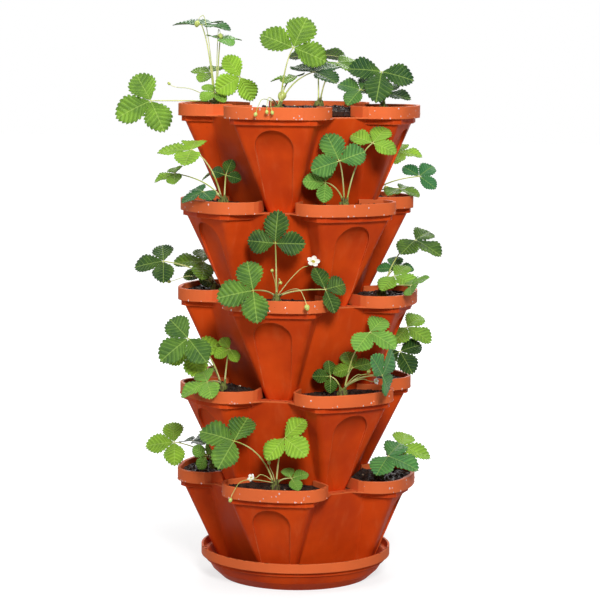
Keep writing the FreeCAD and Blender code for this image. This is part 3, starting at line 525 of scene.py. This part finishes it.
# The strawberry leaves: thin, toothed leaflets in threes, pleated along their side veins, deep green
# above and paler below. Each is set where the plant's own solid holds it.
TEETH = 8
BASE_ROWS = 4
BASE_SHARE = 0.2
TIP_TEETH = 0.6
TOOTH_ROWS = ((0.0, -0.014), (0.45, 0.024), (0.86, 0.036))
OUTLINE_STEPS = 3000
OUTLINE_LENGTH = 0.965
RIB_SLANT = 0.62
BLADE_FOLD = 0.16
BLADE_DROOP = 0.12
BLADE_HALF_WIDTH = 0.385
BLADE_SHOULDER = 1.25
BLADE_BLUNTNESS = 0.68
BLADE_PLEAT = 0.010
BLADE_THICKNESS = 0.00045
RUFFLES = (0.9, 1.4, 1.1, 1.8, 1.3)
YOUNGEST = 0.85


def blade_half_width(share):
    """Half the width of a smooth leaflet one long, at a share of the way along it."""
    swell = math.sin(math.pi * min(share, 1.0) ** BLADE_SHOULDER)
    return BLADE_HALF_WIDTH * max(0.0, swell) ** BLADE_BLUNTNESS


def blade_rows():
    """The edge of half a leaflet, from base to tip: for each row of the mesh its place on the smooth
    edge, its place on the toothed edge and its count in teeth."""
    fine = [Vector((OUTLINE_LENGTH * i / OUTLINE_STEPS, blade_half_width(i / OUTLINE_STEPS)))
            for i in range(OUTLINE_STEPS + 1)]
    run = [0.0]
    for first, second in zip(fine, fine[1:]):
        run.append(run[-1] + (second - first).length)
    pitch = (1 - BASE_SHARE) / (TEETH + TIP_TEETH)
    spots = [(BASE_SHARE * i / BASE_ROWS, 0.0, 2.0 * i / BASE_ROWS - 2) for i in range(BASE_ROWS)]
    for tooth in range(TEETH):
        spots += [(BASE_SHARE + (tooth + part) * pitch, out, tooth + part) for part, out in TOOTH_ROWS]
    spots += [(BASE_SHARE + TEETH * pitch, TOOTH_ROWS[0][1], TEETH), (1.0, 0.0, TEETH + TIP_TEETH)]
    rows = []
    for share, out, count in spots:
        index = next(i for i, r in enumerate(run) if r >= share * run[-1] - 1e-9)
        index = min(index, OUTLINE_STEPS - 1)
        along = (fine[index + 1] - fine[index]).normalized()
        smooth = fine[index] if share < 1 else Vector((1, 0))
        rows.append((smooth, smooth + out * Vector((-along.y, along.x)), count))
    return rows


def blade_pattern(name, seed, ruffle):
    """One leaflet lying along X, one long: toothed, pleated along its side veins, folded up at the
    midrib and drooping at its tip."""
    rows = blade_rows()
    bm = bmesh.new()
    bmesh.ops.create_grid(bm, x_segments=len(rows) - 1, y_segments=8, size=0.5)
    uv = bm.loops.layers.uv.new("blade")
    marks = {}
    for vert in bm.verts:
        smooth, toothed, count = rows[round((vert.co.x + 0.5) * (len(rows) - 1))]
        side = 2 * vert.co.y
        rib = max(0.0, smooth.x - RIB_SLANT * smooth.y)
        edge = toothed if abs(side) > 0.99 else smooth
        x = rib + (edge.x - rib) * abs(side)
        y = edge.y * side
        wave = noise.noise(Vector((x * 2.4, y * 2.8, seed * 7.3)))
        z = BLADE_FOLD * abs(y) - BLADE_DROOP * x ** 2
        z += ruffle * (0.2 * wave * abs(y) + 0.08 * math.sin(x * 9 + seed * 2.0 + side) * y ** 2)
        pleat = math.cos(2 * math.pi * (count - TOOTH_ROWS[-1][0]))
        z -= BLADE_PLEAT * pleat * abs(side) ** 0.6 * min(1.0, 6 * smooth.y)
        vert.co = Vector((x, y, z))
        marks[vert] = (count, y)
    for face in bm.faces:
        for loop in face.loops:
            loop[uv].uv = marks[loop.vert]
    bmesh.ops.remove_doubles(bm, verts=bm.verts, dist=0.0008)
    data = bpy.data.meshes.new(name)
    bm.to_mesh(data)
    bm.free()
    return data


blades = [blade_pattern("blade_%d" % i, i, ruffle) for i, ruffle in enumerate(RUFFLES)]
leaf_marks, inside, ends = new_group(
    "leaf_marks",
    [("Dark", "NodeSocketColor", paint("2c5a1c")), ("Light", "NodeSocketColor", paint("7dac46")),
     ("Cool", "NodeSocketColor", paint("3f8450")), ("Vein", "NodeSocketColor", paint("b4cf86"))],
    [("Color", "NodeSocketColor"), ("Roughness", "NodeSocketFloat"), ("Height", "NodeSocketFloat")],
)
spot = add_node(leaf_marks, "ShaderNodeUVMap", uv_map="blade").outputs["UV"]
shade = add_node(leaf_marks, "ShaderNodeAttribute", attribute_name="shade").outputs["Fac"]
cool = add_node(leaf_marks, "ShaderNodeAttribute", attribute_name="cool").outputs["Fac"]
where = object_place(leaf_marks)
xy = add_node(leaf_marks, "ShaderNodeSeparateXYZ", {"Vector": spot})
# The side veins run along the crests between the teeth, the midrib along the middle.
full_turn = 2 * math.pi
beat = reckon(leaf_marks, "MULTIPLY_ADD", xy.outputs["X"], full_turn, -full_turn * TOOTH_ROWS[-1][0])
wave = reckon(leaf_marks, "COSINE", beat)
midrib = ramp(leaf_marks, reckon(leaf_marks, "ABSOLUTE", xy.outputs["Y"]), 0.022, 0.008)
side_vein = reckon(leaf_marks, "MULTIPLY", ramp(leaf_marks, wave, 0.9, 1.0), 0.5)
vein = reckon(leaf_marks, "MAXIMUM", side_vein, midrib)
tone = reckon(leaf_marks, "MULTIPLY_ADD", speckle(leaf_marks, where, 60.0, 3.0), 0.5, shade)
colour = blend_colours(leaf_marks, ramp(leaf_marks, tone, 0.26, 1.22), inside.outputs["Dark"],
                       inside.outputs["Light"])
bluish = ramp(leaf_marks, cool, 0.35, 1.0, 0.0, 0.6)
colour = blend_colours(leaf_marks, bluish, colour, inside.outputs["Cool"])
trough = ramp(leaf_marks, wave, 0.2, -1.0, 0.0, 0.26)
colour = blend_colours(leaf_marks, trough, colour, inside.outputs["Dark"])
vein = reckon(leaf_marks, "MULTIPLY", vein, 0.36)
colour = blend_colours(leaf_marks, vein, colour, inside.outputs["Vein"])
net = add_node(leaf_marks, "ShaderNodeTexVoronoi", {"Vector": where, "Scale": 700.0}).outputs["Distance"]
lift = reckon(leaf_marks, "MULTIPLY_ADD", wave, -0.8, net)
lift = reckon(leaf_marks, "MULTIPLY_ADD", midrib, -1.5, lift)
sheen = ramp(leaf_marks, tone, 0.2, 1.2, 0.42, 0.58)
feed(leaf_marks, ends, Color=colour, Roughness=sheen, Height=lift)


def leaf_material(name, dark, light, cool, vein, depth, **constants):
    """One side of the leaves, with its four colours and how deep its veins are pressed."""
    material, tree, shader = new_material(name, **constants)
    made = add_node(tree, "ShaderNodeGroup", node_tree=leaf_marks)
    for key, value in (("Dark", dark), ("Light", light), ("Cool", cool), ("Vein", vein)):
        made.inputs[key].default_value = paint(value)
    tree.links.new(made.outputs["Color"], shader.inputs["Base Color"])
    tree.links.new(made.outputs["Roughness"], shader.inputs["Roughness"])
    tree.links.new(bumped(tree, made.outputs["Height"], 0.5, depth), shader.inputs["Normal"])
    return material


leaf_top = leaf_material("leaf_top", "103806", "98c638", "3c8850", "b4d468", 0.0012,
                         Specular_IOR_Level=0.22, Sheen_Weight=0.05, Sheen_Roughness=0.5)
leaf_back = leaf_material("leaf_back", "557c34", "9abb62", "7da377", "c6da98", -0.0012,
                          Specular_IOR_Level=0.2, Sheen_Weight=0.15, Sheen_Roughness=0.6)


def loose_solids(node):
    """The points of each separate solid of a plant's node."""
    copy = bmesh.new()
    copy.from_mesh(node.data)
    bmesh.ops.remove_doubles(copy, verts=copy.verts, dist=0.000001)
    copy.verts.ensure_lookup_table()
    found = []
    for vert in copy.verts:
        if vert.tag:
            continue
        vert.tag = True
        group = [vert]
        for member in group:
            for edge in member.link_edges:
                other = edge.other_vert(member)
                if not other.tag:
                    other.tag = True
                    group.append(other)
        found.append([v.co.copy() for v in group])
    copy.free()
    return found


def middle_of(points):
    """The mean of some points."""
    return sum(points, Vector()) / len(points)


def blade_frame(points, hub):
    """A leaflet's place and turn, from its eight corners: the columns are one length long."""
    base = min(points, key=lambda p: (p - hub).length)
    tip = max(points, key=lambda p: (p - base).length)
    rest = [p for p in points if p is not base and p is not tip]
    pairs = [(a, b) for i, a in enumerate(rest) for b in rest[i + 1:]]
    thick = min(pairs, key=lambda ab: (ab[0] - ab[1]).length)
    chord = tip - base
    rest = [p for p in rest if p is not thick[0] and p is not thick[1]]
    sides = sorted(rest, key=lambda p: (p - base).dot(chord))
    across = sides[0] - sides[1]
    straight = chord.normalized()
    normal = straight.cross(across).normalized()
    if (middle_of(sides[:2]) - base).dot(normal) < 0:
        normal = -normal
    bent = math.sqrt(1 + BLADE_DROOP ** 2)
    along = (straight + BLADE_DROOP * normal) / bent
    up = (normal - BLADE_DROOP * straight) / bent
    length = chord.length / bent
    turn = Matrix((along, up.cross(along), up)).transposed().to_4x4()
    return Matrix.Translation(base) @ turn @ Matrix.Scale(length, 4)


# A plant's solids are told apart by their counts of points.
CROWN_POINTS = 12
STALK_POINTS = 9
LEAFLET_POINTS = 8
plants = {}
for name in sorted(n for n in nodes if n.startswith("plant_")):
    chance = random.Random(name)
    solids = loose_solids(nodes[name])
    crown = sorted(next(s for s in solids if len(s) == CROWN_POINTS), key=lambda p: p.z)
    foot, top = middle_of(crown[:6]), middle_of(crown[6:])
    stalks = []
    for points in (s for s in solids if len(s) == STALK_POINTS):
        ordered = sorted(points, key=lambda p: (p - top).length)
        stalks.append([middle_of(ordered[i:i + 3]) for i in (0, 3, 6)])
    leaves = [[] for _ in stalks]
    for points in (s for s in solids if len(s) == LEAFLET_POINTS):
        nearest = min(range(len(stalks)), key=lambda i: min((p - stalks[i][2]).length for p in points))
        leaves[nearest].append(blade_frame(points, stalks[nearest][2]))
    plants[name] = {"foot": foot, "top": top, "stalks": stalks, "leaves": leaves}
    foliage = bmesh.new()
    tint = foliage.verts.layers.float.new("shade")
    chill = foliage.verts.layers.float.new("cool")
    for group in leaves:
        young, bluish = chance.uniform(0.0, YOUNGEST), chance.random()
        for place in group:
            start = len(foliage.verts)
            foliage.from_mesh(chance.choice(blades))
            foliage.verts.ensure_lookup_table()
            fresh = foliage.verts[start:]
            bmesh.ops.transform(foliage, matrix=place, verts=fresh)
            for vert in fresh:
                vert[tint] = young + 0.12 * noise.noise(vert.co * 40)
                vert[chill] = bluish
    piece = to_object(foliage, "leaves_" + name[6:], [leaf_top, leaf_back], body_of[name])
    thin = piece.modifiers.new("thickness", "SOLIDIFY")
    thin.thickness = BLADE_THICKNESS
    thin.offset = -1
    thin.material_offset = 1
    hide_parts(name)

# The leaf stalks, flower stalks and midribs: soft round stems that rise from the crown and bend under
# the leaves. They are yellow-green, with fine lengthwise fibres.
stem_skin, tree, shader = new_material("stem", Specular_IOR_Level=0.4, Sheen_Weight=0.3)
where = object_place(tree)
fibre = speckle(tree, where, 1.0, 3.0, (700, 700, 60))
patches = ramp(tree, speckle(tree, where, 35.0, 3.0), 0.35, 0.65)
colour = blend_colours(tree, patches, paint("a8b54c"), paint("d3d68a"))
colour = blend_colours(tree, ramp(tree, fibre, 0.5, 0.75, 0, 0.5), colour, paint("86a03c"))
tree.links.new(colour, shader.inputs["Base Color"])
tree.links.new(ramp(tree, fibre, 0.3, 0.7, 0.4, 0.6), shader.inputs["Roughness"])
tree.links.new(bumped(tree, fibre, 0.4, 0.0003), shader.inputs["Normal"])
STEM_RADIUS = 0.00088
RIB_DEPTH = 0.013
RIB_SPOTS = (0.0, 0.3, 0.6, 0.88)
STALK_RADII = (1.25, 1.0, 0.8)
RIB_RADII = (0.75, 0.6, 0.42, 0.28, 0.12)
STALK_SUNK = 0.4


def add_stem(curve, points, radii):
    """A smooth stem that bends towards its middle points, with radii as shares of the thickest."""
    spline = curve.splines.new("NURBS")
    spline.points.add(len(points) - 1)
    for point, place, radius in zip(spline.points, points, radii):
        point.co = (*place, 1)
        point.radius = radius * STEM_RADIUS
    spline.order_u = 3
    spline.use_endpoint_u = True


for name, plant in plants.items():
    curve = bpy.data.curves.new("stems_" + name[6:], "CURVE")
    curve.dimensions = "3D"
    curve.bevel_depth = 1
    curve.bevel_resolution = 2
    curve.use_fill_caps = True
    curve.resolution_u = 10
    curve.materials.append(stem_skin)
    for (root, half, hub), group in zip(plant["stalks"], plant["leaves"]):
        bend = 2 * half - (root + hub) / 2
        sunk = root + (plant["foot"] - root) * STALK_SUNK
        add_stem(curve, [sunk, bend, hub], STALK_RADII)
        for place in group:
            rib = [place @ Vector((s, 0, -BLADE_DROOP * s * s - RIB_DEPTH)) for s in RIB_SPOTS]
            add_stem(curve, [hub] + rib, RIB_RADII)
    plant["curve"] = curve
    stems = bpy.data.objects.new("stems_" + name[6:], curve)
    bpy.context.scene.collection.objects.link(stems)
    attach(stems, body_of[name])

# The crowns: a stubby brown-green rootstock for each plant, half sunk in the soil and wrapped in the
# dry scales of old leaves. A tapered sheath grows from it round the foot of every leaf stalk.
crown_skin, tree, shader = new_material("crown_bark", Roughness=0.8)
scales = speckle(tree, object_place(tree), 1.0, 4.0, (500, 500, 90))
colour = blend_colours(tree, ramp(tree, scales, 0.35, 0.6), paint("3a2412"), paint("727d34"))
tree.links.new(colour, shader.inputs["Base Color"])
tree.links.new(bumped(tree, scales, 0.8, 0.0008), shader.inputs["Normal"])
STUMP_RADIUS = 0.0066
STUMP_REACH = 0.7
STUMP_LIFT = 0.1
BARK_LUMPS = 300
BARK_DEPTH = 0.35
SHEATH_SPREAD = 0.62
SHEATH_FOOT = 0.0029
SHEATH_TOP = 0.0011
SHEATH_LENGTH = 0.012
for name, plant in plants.items():
    stump = bmesh.new()
    foot = plant["foot"]
    height = plant["top"].z - foot.z
    swelling = Matrix.Diagonal((STUMP_RADIUS, STUMP_RADIUS, STUMP_REACH * height, 1))
    stand = Matrix.Translation(foot + Vector((0, 0, STUMP_LIFT * height)))
    bmesh.ops.create_icosphere(stump, subdivisions=3, radius=1.0, matrix=stand @ swelling)
    for vert in stump.verts:
        vert.co += (vert.co - foot) * BARK_DEPTH * noise.noise(vert.co * BARK_LUMPS)
    for root, half, hub in plant["stalks"]:
        stand = Matrix.Translation(foot + (root - foot) * SHEATH_SPREAD)
        stand = stand @ frame_on((half - foot).normalized())
        bmesh.ops.create_cone(stump, cap_ends=True, segments=9, radius1=SHEATH_FOOT, radius2=SHEATH_TOP,
                              depth=SHEATH_LENGTH, matrix=stand)
    piece = to_object(stump, "crown_" + name[6:], [crown_skin], body_of[name])

# Young strawberries, buds and open flowers on thin stalks. The unripe berries are pale green with
# sunken seeds, under a ruff of small pointed sepals.
berry_skin, tree, shader = new_material("green_berry", Specular_IOR_Level=0.5)
pips = {"Vector": object_place(tree), "Scale": 620.0, "Randomness": 0.35}
seeds = add_node(tree, "ShaderNodeTexVoronoi", pips).outputs["Distance"]
colour = blend_colours(tree, ramp(tree, seeds, 0.28, 0.16), paint("b9c866"), paint("7f6a2a"))
tree.links.new(colour, shader.inputs["Base Color"])
tree.links.new(ramp(tree, seeds, 0.1, 0.4, 0.55, 0.3), shader.inputs["Roughness"])
tree.links.new(bumped(tree, ramp(tree, seeds, 0.1, 0.34), 0.8, 0.0005), shader.inputs["Normal"])
petal_skin = mottled("petal", 260.0, 0.4, 0.7, "f6f6ee", "e3e6cc", Roughness=0.5, Subsurface_Weight=0.1)
pollen_skin, tree, shader = new_material("pollen", Roughness=0.8)
grains = {"Vector": object_place(tree), "Scale": 1100.0}
dots = add_node(tree, "ShaderNodeTexVoronoi", grains).outputs["Distance"]
colour = blend_colours(tree, ramp(tree, dots, 0.2, 0.5), paint("f2d64a"), paint("a9a53a"))
tree.links.new(colour, shader.inputs["Base Color"])
tree.links.new(bumped(tree, dots, 1.0, 0.0005), shader.inputs["Normal"])
sepal_skin = mottled("sepal", 300.0, 0.4, 0.65, "5f8a2e", "9fbe56", Roughness=0.6)
FRUIT_SKINS = [berry_skin, petal_skin, pollen_skin, sepal_skin]
BERRY, PETAL, POLLEN, SEPAL = range(4)
PETALS = 5
PETAL_LIFT = 0.001
PETAL_HALF_THICKNESS = 0.0006
PETAL_CUP = 0.25
DOME_LIFT = 0.0012


def paint_faces(made, index):
    """Give what an operator made the material at an index."""
    for vert in made["verts"]:
        for face in vert.link_faces:
            face.material_index = index


def add_sepals(bm, stand, reach, count=6, droop=0.5):
    """A ruff of pointed sepals round a fruit's neck, in a frame whose Z runs out along the fruit."""
    flat = Matrix.Translation((0, 0, 0.5 * reach)) @ Matrix.Diagonal((0.25, 1, 1, 1))
    for i in range(count):
        turn = Matrix.Rotation(2 * math.pi * i / count, 4, "Z")
        turn = turn @ Matrix.Rotation(math.pi / 2 - droop, 4, "Y")
        made = bmesh.ops.create_cone(bm, cap_ends=True, segments=6, radius1=0.3 * reach, radius2=0,
                                     depth=reach, matrix=stand @ turn @ flat)
        paint_faces(made, SEPAL)


def add_berry(bm, stand, radius):
    """A young berry, wide at its neck and narrow at its tip."""
    made = bmesh.ops.create_icosphere(bm, subdivisions=3, radius=radius)
    for vert in made["verts"]:
        share = vert.co.z / radius
        vert.co.xy = vert.co.xy * (1 - 0.22 * share)
        vert.co.z = vert.co.z * 1.25 + radius
        vert.co = stand @ vert.co
    paint_faces(made, BERRY)
    add_sepals(bm, stand, 1.1 * radius)


def add_bud(bm, stand, radius):
    """A small green berry that has just set, held by long sepals."""
    shape = Matrix.Translation((0, 0, 0.9 * radius)) @ Matrix.Diagonal((0.85, 0.85, 1.05, 1))
    made = bmesh.ops.create_icosphere(bm, subdivisions=2, radius=radius, matrix=stand @ shape)
    paint_faces(made, BERRY)
    add_sepals(bm, stand, 1.5 * radius, 5, 0.95)


def add_flower(bm, stand, radius):
    """Five round petals, slightly cupped, round a domed middle."""
    petal = Matrix.Diagonal((0.46 * radius, 0.42 * radius, PETAL_HALF_THICKNESS, 1))
    petal = Matrix.Translation((0.62 * radius, 0, PETAL_LIFT)) @ petal
    for i in range(PETALS):
        turn = Matrix.Rotation(2 * math.pi * i / PETALS, 4, "Z") @ Matrix.Rotation(-PETAL_CUP, 4, "Y")
        made = bmesh.ops.create_uvsphere(bm, u_segments=14, v_segments=7, radius=1,
                                         matrix=stand @ turn @ petal)
        paint_faces(made, PETAL)
    dome = Matrix.Translation((0, 0, DOME_LIFT)) @ Matrix.Diagonal((1, 1, 0.7, 1))
    made = bmesh.ops.create_icosphere(bm, subdivisions=3, radius=0.3 * radius, matrix=stand @ dome)
    paint_faces(made, POLLEN)
    add_sepals(bm, stand, 0.8 * radius, 5, 0.2)


# Each row: the fruit's kind, its neck out, aside and up from its plant's crown, its radius, the way
# it points, and the stalk's highest point on the way, all in millimetres.
FRUIT = {
    "plant_1_left": [
        ("berry", (23, 6, 112), 3.6, (0.3, 0, -1), (12, 3, 122)),
        ("berry", (-8, 8, 96), 3.0, (-0.2, 0.2, -1), (-3, 4, 102)),
        ("bud", (56, 20, 30), 2.4, (0.6, 0.3, 0.6), (26, 9, 26)),
    ],
    "plant_1_front": [
        ("berry", (-7, 5, 24), 5.2, (0.5, -0.3, -1), (-6, 4, 34)),
        ("bud", (54, -14, 1), 2.8, (0.2, -0.2, -1), (38, -9, 22)),
        ("bud", (52, -1, 4), 2.6, (0.2, 0.1, -1), (38, -2, 24)),
        ("bud", (51, 5, 3), 2.6, (0.3, 0.4, -1), (37, 1, 22)),
    ],
    "plant_2_back_right": [("berry", (6, -27, 18), 4.0, (0.3, -0.3, -1), (3, -16, 30))],
    "plant_3_left": [("bud", (54, 23, 12), 2.6, (0.8, 0.3, -0.2), (28, 12, 22))],
    "plant_3_front": [
        ("flower", (-3, 46, 52), 8.5, (0.6, 0.3, 0.6), (-2, 26, 44)),
        ("bud", (15, -2, 40), 2.5, (0.5, 0, 0.8), (6, 0, 26)),
        ("bud", (18, 9, 29), 2.5, (0.5, 0.3, -0.6), (9, 5, 30)),
        ("berry", (47, 50, 4), 3.2, (0.3, 0.3, -1), (30, 34, 28)),
    ],
    "plant_4_front_right": [
        ("bud", (33, 16, 32), 2.6, (0.6, 0.2, 0.7), (16, 8, 30)),
        ("flower", (43, 21, 22), 4.5, (0.9, 0.2, 0.3), (22, 11, 26)),
        ("bud", (39, 29, 32), 2.6, (0.6, 0.5, 0.6), (18, 13, 30)),
    ],
    "plant_4_back_right": [("flower", (50, -32, 46), 6.0, (0.6, -0.8, 0.3), (26, -16, 42))],
    "plant_5_front": [
        ("bud", (12, -5, 34), 2.8, (0.4, 0, 0.9), (5, -2, 22)),
        ("flower", (22, -25, 17), 5.5, (0.8, -0.4, 0.5), (12, -14, 24)),
        ("bud", (60, -42, -2), 3.0, (0.2, -0.2, -1), (42, -30, 24)),
    ],
}
FRUIT_MAKERS = {"berry": add_berry, "bud": add_bud, "flower": add_flower}
FRUIT_STALK_RADII = (0.7, 0.55, 0.42, 0.42)
FRUIT_STALK_START = 0.6
FRUIT_NECK = 0.006
MILLIMETRE = 0.001
for name, rows in FRUIT.items():
    plant = plants[name]
    foot = plant["foot"]
    start = foot + (plant["top"] - foot) * FRUIT_STALK_START
    bearing = Matrix.Rotation(math.atan2(foot.y, foot.x), 4, "Z")
    home = Matrix.Translation(foot) @ bearing @ Matrix.Scale(MILLIMETRE, 4)
    bunch = bmesh.new()
    for kind, place, radius, points, crest in rows:
        neck = home @ Vector(place)
        outward = (home.to_3x3() @ Vector(points)).normalized()
        FRUIT_MAKERS[kind](bunch, Matrix.Translation(neck) @ frame_on(outward), radius * MILLIMETRE)
        route = [start, home @ Vector(crest), neck - outward * FRUIT_NECK, neck]
        add_stem(plant["curve"], route, FRUIT_STALK_RADII)
    piece = to_object(bunch, "fruit_" + name[6:], FRUIT_SKINS, body_of[name])
